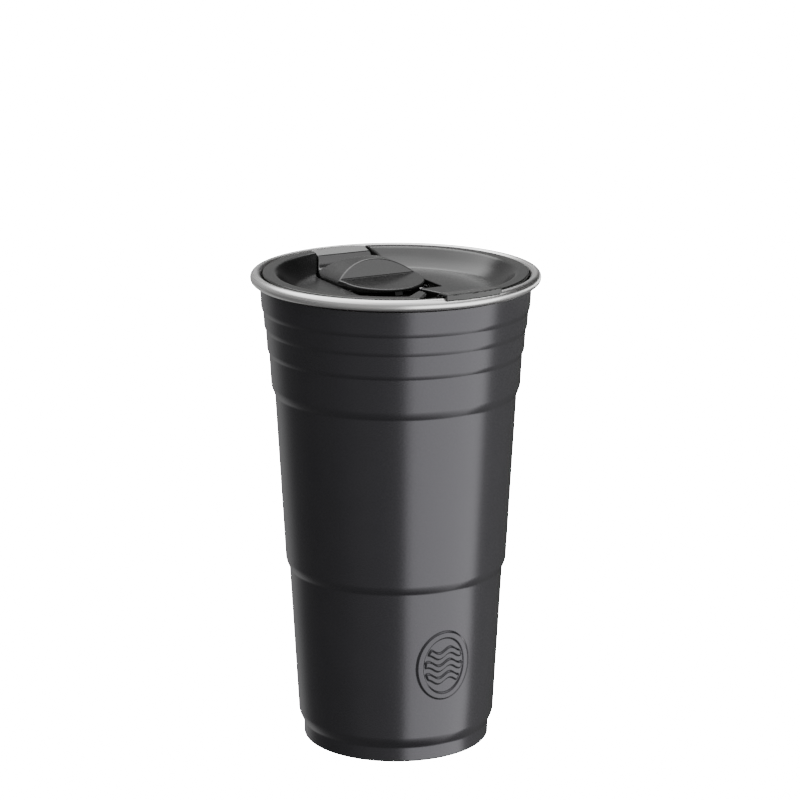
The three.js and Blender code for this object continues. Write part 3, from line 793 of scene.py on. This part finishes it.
def coating_material():
    """Charcoal powder coat: satin, with a very fine orange peel and faint mottling."""
    material, shader = new_material("powder_coat", (0.03, 0.03, 0.032), 0.24)
    shader.inputs["Specular IOR Level"].default_value = 0.8
    # Painted light: the bluish specular tint gives the coat's reflections the cool colour of the studio light
    # on the right.
    shader.inputs["Specular Tint"].default_value = (0.95, 0.93, 1.0, 1)
    place = place_mm(material)
    mottle = spread(material, noise(material, place, 0.09, detail=3), 0, 1)
    colour = tint(material, mottle, (0.0118, 0.0116, 0.0132), (0.0142, 0.0139, 0.0158))
    link(material, colour, shader.inputs["Base Color"])
    grain = noise(material, place, 2.6, detail=3)
    link(material, spread(material, grain, 0.21, 0.27), shader.inputs["Roughness"])
    peel = noise(material, place, 0.9, detail=2)
    first = bump(material, shader, peel, 0.010)
    bump(material, shader, grain, 0.004, first)
    return material


def steel_material():
    """Stainless steel with its brushing running round the axis."""
    material, shader = new_material("brushed_steel", (0.62, 0.62, 0.61), 0.26, metallic=1.0)
    place = place_mm(material)
    parts = add(material, "SeparateXYZ")
    link(material, place, parts.inputs[0])
    angle = add(material, "Math", operation="ARCTAN2")
    link(material, parts.outputs[1], angle.inputs[0])
    link(material, parts.outputs[0], angle.inputs[1])
    plan = add(material, "VectorMath", operation="MULTIPLY")
    plan.inputs[1].default_value = (1, 1, 0)
    link(material, place, plan.inputs[0])
    radius = add(material, "VectorMath", operation="LENGTH")
    link(material, plan.outputs[0], radius.inputs[0])
    turned = add(material, "CombineXYZ")
    link(material, angle.outputs[0], turned.inputs[0])
    link(material, radius.outputs["Value"], turned.inputs[1])
    link(material, parts.outputs[2], turned.inputs[2])
    stretched = add(material, "VectorMath", operation="MULTIPLY")
    stretched.inputs[1].default_value = (1.6, 9.0, 9.0)
    link(material, turned.outputs[0], stretched.inputs[0])
    lines = noise(material, stretched.outputs[0], 1.0, detail=4, rough=0.6)
    link(material, spread(material, lines, 0.20, 0.34), shader.inputs["Roughness"])
    link(material, tint(material, spread(material, lines, 0, 1), (0.78, 0.78, 0.775), (0.90, 0.90, 0.89)),
         shader.inputs["Base Color"])
    bump(material, shader, lines, 0.003)
    return material


def plastic_material(name, dark, light):
    """Moulded black plastic, semi-gloss, with the slight ripple and fine texture of the mould."""
    material, shader = new_material(name, (dark, dark, dark), 0.2)
    shader.inputs["Specular IOR Level"].default_value = 0.75
    place = place_mm(material)
    ripple = noise(material, place, 0.16, detail=2)
    grain = noise(material, place, 3.2, detail=3)
    link(material, tint(material, spread(material, ripple, 0, 1), (dark, dark, dark), (light, light, light)),
         shader.inputs["Base Color"])
    link(material, spread(material, grain, 0.16, 0.25), shader.inputs["Roughness"])
    first = bump(material, shader, ripple, 0.02)
    bump(material, shader, grain, 0.003, first)
    return material


def silicone_material():
    material, shader = new_material("dark_silicone", (0.03, 0.03, 0.03), 0.6)
    place = place_mm(material)
    grain = noise(material, place, 2.0, detail=3)
    colour = tint(material, spread(material, grain, 0, 1), (0.026, 0.026, 0.026), (0.036, 0.036, 0.035))
    link(material, colour, shader.inputs["Base Color"])
    link(material, spread(material, grain, 0.52, 0.66), shader.inputs["Roughness"])
    bump(material, shader, grain, 0.006)
    return material


def glass_bead_material():
    material, shader = new_material("sealing_glass", (0.12, 0.16, 0.14), 0.18)
    place = place_mm(material)
    cloud = noise(material, place, 0.8, detail=3)
    link(material, tint(material, spread(material, cloud, 0, 1), (0.10, 0.135, 0.12), (0.15, 0.19, 0.17)),
         shader.inputs["Base Color"])
    link(material, spread(material, cloud, 0.12, 0.3), shader.inputs["Roughness"])
    bump(material, shader, cloud, 0.01)
    return material


def getter_material():
    material, shader = new_material("getter_metal", (0.3, 0.29, 0.28), 0.5, metallic=1.0)
    place = place_mm(material)
    grain = noise(material, place, 1.5, detail=4)
    link(material, tint(material, spread(material, grain, 0, 1), (0.24, 0.235, 0.225), (0.36, 0.35, 0.34)),
         shader.inputs["Base Color"])
    link(material, spread(material, grain, 0.4, 0.6), shader.inputs["Roughness"])
    bump(material, shader, grain, 0.02)
    return material


def dress(piece, material):
    piece.data.materials.clear()
    piece.data.materials.append(material)


# ---------------------------------------------------------------- camera, floor and light

VIEW_ANGLE = math.radians(27.5)        # how far the photo's viewpoint is round from the cup's front
CAMERA_DISTANCE = 1.0426               # in metres, level, from the cup's axis
CAMERA_HEIGHT = 0.3897
CAMERA_PITCH, CAMERA_YAW = math.radians(-14.317), math.radians(0.082)
CAMERA_LENS, CAMERA_SENSOR = 136.935, 36   # in millimetres
FLOOR_GLOW = 24                        # bright enough for the floor to look plain white


def add_camera():
    data = bpy.data.cameras.new("camera")
    data.sensor_width = CAMERA_SENSOR
    data.lens = CAMERA_LENS
    camera = bpy.data.objects.new("camera", data)
    bpy.context.scene.collection.objects.link(camera)
    camera.location = (-CAMERA_DISTANCE * math.sin(VIEW_ANGLE), -CAMERA_DISTANCE * math.cos(VIEW_ANGLE),
                       CAMERA_HEIGHT)
    heading = VIEW_ANGLE + CAMERA_YAW
    level = math.cos(CAMERA_PITCH)
    forward = Vector((math.sin(heading) * level, math.cos(heading) * level, math.sin(CAMERA_PITCH)))
    camera.rotation_euler = forward.to_track_quat("-Z", "Y").to_euler()
    bpy.context.scene.camera = camera


def add_floor():
    """A plain white floor that is only seen directly: it casts no light or shadow on the cup."""
    half = 8
    corners = [(-half, -half, 0), (half, -half, 0), (half, half, 0), (-half, half, 0)]
    mesh = bpy.data.meshes.new("floor")
    mesh.from_pydata(corners, [], [(0, 1, 2, 3)])
    floor = bpy.data.objects.new("floor", mesh)
    bpy.context.scene.collection.objects.link(floor)
    material, shader = new_material("floor_white", (0.85, 0.85, 0.85), 0.9)
    shader.inputs["Specular IOR Level"].default_value = 0
    shader.inputs["Emission Color"].default_value = (1, 1, 1, 1)
    shader.inputs["Emission Strength"].default_value = FLOOR_GLOW
    dress(floor, material)
    floor.visible_glossy = False
    floor.visible_diffuse = False
    floor.visible_shadow = False


# Brightness of the studio by azimuth in degrees, from straight behind the camera (0) towards its
# right (90), in four rings: below eye level, where the body looks, with a tall light box on the
# right; at eye level; a little above it; and high up, where the lid's slopes look.
SIDE_LIGHT = (
    (-180, 0.20), (-160, 0.38), (-148, 0.48), (-138, 0.42), (-128, 0.25), (-120, 0.16), (-95, 0.135),
    (-62, 0.215), (-35, 0.34), (-10, 0.38), (9, 0.41), (13, 2.55), (34, 2.65), (61, 2.75), (90, 2.90),
    (96, 0.52), (125, 0.33), (140, 0.21), (167, 0.06), (180, 0.08),
)
EYE_LIGHT = (
    (-180, 0.34), (-150, 0.30), (-95, 0.24), (-62, 0.30), (-10, 0.38), (9, 0.42), (13, 1.60), (34, 2.20),
    (92, 2.50), (112, 2.40), (167, 2.60), (173, 0.33), (180, 0.34),
)
MIDDLE_LIGHT = (
    (-180, 0.34), (-150, 0.38), (-120, 0.36), (-90, 0.28), (-50, 0.40), (-15, 0.45), (20, 0.55),
    (60, 0.35), (100, 0.08), (150, 0.03), (166, 0.10), (174, 0.32), (180, 0.34),
)
HIGH_LIGHT = (
    (-180, 3.5), (-140, 3.2), (-112, 2.6), (-50, 2.0), (-15, 1.0), (25, 1.1), (50, 2.0), (103, 2.0),
    (113, 0.12), (135, 0.08), (155, 0.15), (163, 1.2), (169, 3.4), (180, 3.5),
)
# Each ring with the sines of the elevations between which it takes over from the light below it.
LIGHT_RINGS = (
    (SIDE_LIGHT, -0.90, -0.60),
    (EYE_LIGHT, -0.22, -0.10),
    (MIDDLE_LIGHT, -0.03, 0.06),
    (HIGH_LIGHT, 0.50, 0.62),
)
OVERHEAD, OVERHEAD_LOW, OVERHEAD_HIGH = 2.9, 0.93, 1.0
UNDERFOOT = 0.14
BRIGHTEST = 8.0                        # the ramps hold shares of this


def ramp(tree, factor, stops):
    """A grey that follows the stops as the factor goes from 0 to 1."""
    node = tree.nodes.new("ShaderNodeValToRGB")
    colours = node.color_ramp
    while len(colours.elements) > 1:
        colours.elements.remove(colours.elements[-1])
    for i, (position, value) in enumerate(stops):
        stop = colours.elements[0] if i == 0 else colours.elements.new(position)
        stop.position = position
        stop.color = (value, value, value, 1)
    tree.links.new(factor, node.inputs[0])
    return node.outputs[0]


def add_light():
    """A studio made of light alone, set out round the cup from the photo's viewpoint."""
    world = bpy.data.worlds.new("studio")
    bpy.context.scene.world = world
    world.use_nodes = True
    tree = world.node_tree
    background = tree.nodes["Background"]

    def math_node(operation, a, b=None, clamp=False):
        node = tree.nodes.new("ShaderNodeMath")
        node.operation = operation
        node.use_clamp = clamp
        for index, value in enumerate((a, b)):
            if value is None:
                continue
            if isinstance(value, (int, float)):
                node.inputs[index].default_value = value
            else:
                tree.links.new(value, node.inputs[index])
        return node.outputs[0]

    coordinate = tree.nodes.new("ShaderNodeTexCoord")
    turn = tree.nodes.new("ShaderNodeVectorRotate")
    turn.rotation_type = "Z_AXIS"
    turn.inputs["Angle"].default_value = VIEW_ANGLE
    tree.links.new(coordinate.outputs["Generated"], turn.inputs["Vector"])
    parts = tree.nodes.new("ShaderNodeSeparateXYZ")
    tree.links.new(turn.outputs[0], parts.inputs[0])
    right, away, up = parts.outputs
    azimuth = math_node("ARCTAN2", right, math_node("MULTIPLY", away, -1.0))
    around = math_node("ADD", math_node("DIVIDE", azimuth, 2 * math.pi), 0.5)

    def ring(stops):
        return ramp(tree, around, [((angle + 180) / 360, value / BRIGHTEST) for angle, value in stops])

    def mixed(first, second, low, high):
        """From the first light to the second as the view rises from low to high."""
        node = tree.nodes.new("ShaderNodeMix")
        node.data_type = "RGBA"
        rise = math_node("DIVIDE", math_node("SUBTRACT", up, low), high - low, clamp=True)
        tree.links.new(rise, node.inputs[0])
        for index, light in ((MIX_A, first), (MIX_B, second)):
            if isinstance(light, float):
                share = light / BRIGHTEST
                node.inputs[index].default_value = (share, share, share, 1)
            else:
                tree.links.new(light, node.inputs[index])
        return node.outputs[MIX_RESULT]

    light = UNDERFOOT
    for stops, low, high in LIGHT_RINGS:
        light = mixed(light, ring(stops), low, high)
    light = mixed(light, OVERHEAD, OVERHEAD_LOW, OVERHEAD_HIGH)
    tree.links.new(light, background.inputs["Color"])
    background.inputs["Strength"].default_value = BRIGHTEST


# ---------------------------------------------------------------- build

coating = coating_material()
steel = steel_material()
plastic = plastic_material("black_moulding", 0.005, 0.008)
lever_plastic = plastic_material("lever_moulding_plastic", 0.014, 0.019)
silicone = silicone_material()

dress(outer_shell(), coating)
dress(inner_liner(), steel)
for disc in base_pieces():
    dress(disc, steel)
dress(lid_top(), plastic)
dress(lid_base(), plastic)
dress(gasket(), silicone)
dress(hinge_pin(), steel)
dress(lever(), lever_plastic)
dress(stopper(), silicone)
dress(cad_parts["vacuum_seal"], glass_bead_material())
dress(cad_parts["getter"], getter_material())

add_camera()
add_floor()
add_light()
bpy.context.scene.view_settings.view_transform = "AgX"
